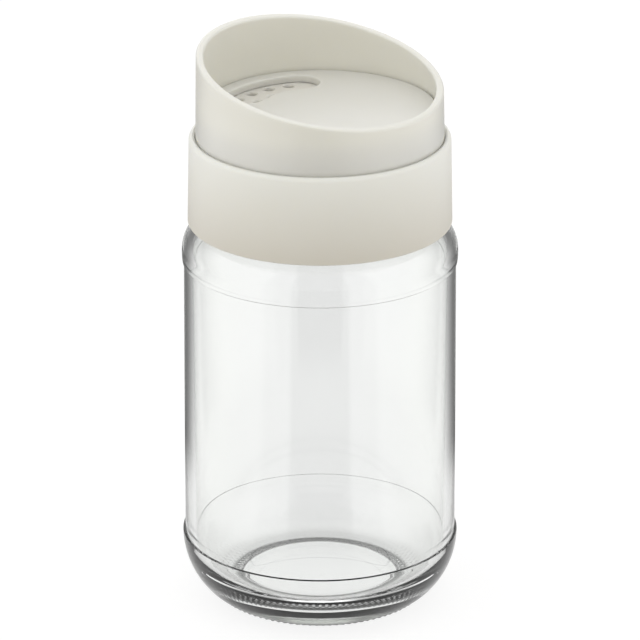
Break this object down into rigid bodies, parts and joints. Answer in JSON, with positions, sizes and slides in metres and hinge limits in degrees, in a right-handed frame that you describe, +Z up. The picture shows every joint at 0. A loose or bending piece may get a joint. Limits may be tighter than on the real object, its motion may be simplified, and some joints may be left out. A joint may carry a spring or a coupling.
{
  "type": "spice jar",
  "caption": "Round clear glass spice jar with a screw-on lid whose slanted top ring turns to sprinkle, pour or close.",
  "frame": {"origin": "middle of the foot, on the surface that the jar stands on", "axes": "+Z up along the jar, +Y towards the high side of the slanted rim"},
  "size_m": [0.06, 0.06, 0.1254],
  "materials": {
    "clear_glass": "clear, polished, with a stippled foot",
    "lid_plastic": "satin off-white moulding",
    "liner": "matt"
  },
  "bodies": {
    "jar": {"glass_jar": "clear_glass"},
    "seal": {"jar_seal": "liner"},
    "collar": {"screw_collar": "lid_plastic", "shaker_insert": "lid_plastic"},
    "cap": {"cap_ring": "lid_plastic", "dosing_disc": "lid_plastic"}
  },
  "joints": [
    {"name": "lid_rise", "type": "slide", "parent": "jar", "child": "seal", "axis": [0, 0, 1], "range_m": [0, 0.0169]},
    {"name": "lid_unscrew", "type": "hinge", "parent": "seal", "child": "collar", "pos_m": [0, 0, 0.0947], "axis": [0, 0, 1], "range_deg": [0, 1440]},
    {"name": "cap_turn", "type": "hinge", "parent": "collar", "child": "cap", "pos_m": [0, 0, 0.1119], "axis": [0, 0, 1], "range_deg": [-120, 120]}
  ],
  "couplings": [
    {"joint": "lid_rise", "follows": "lid_unscrew", "m_per_rad": 0.00066845}
  ]
}
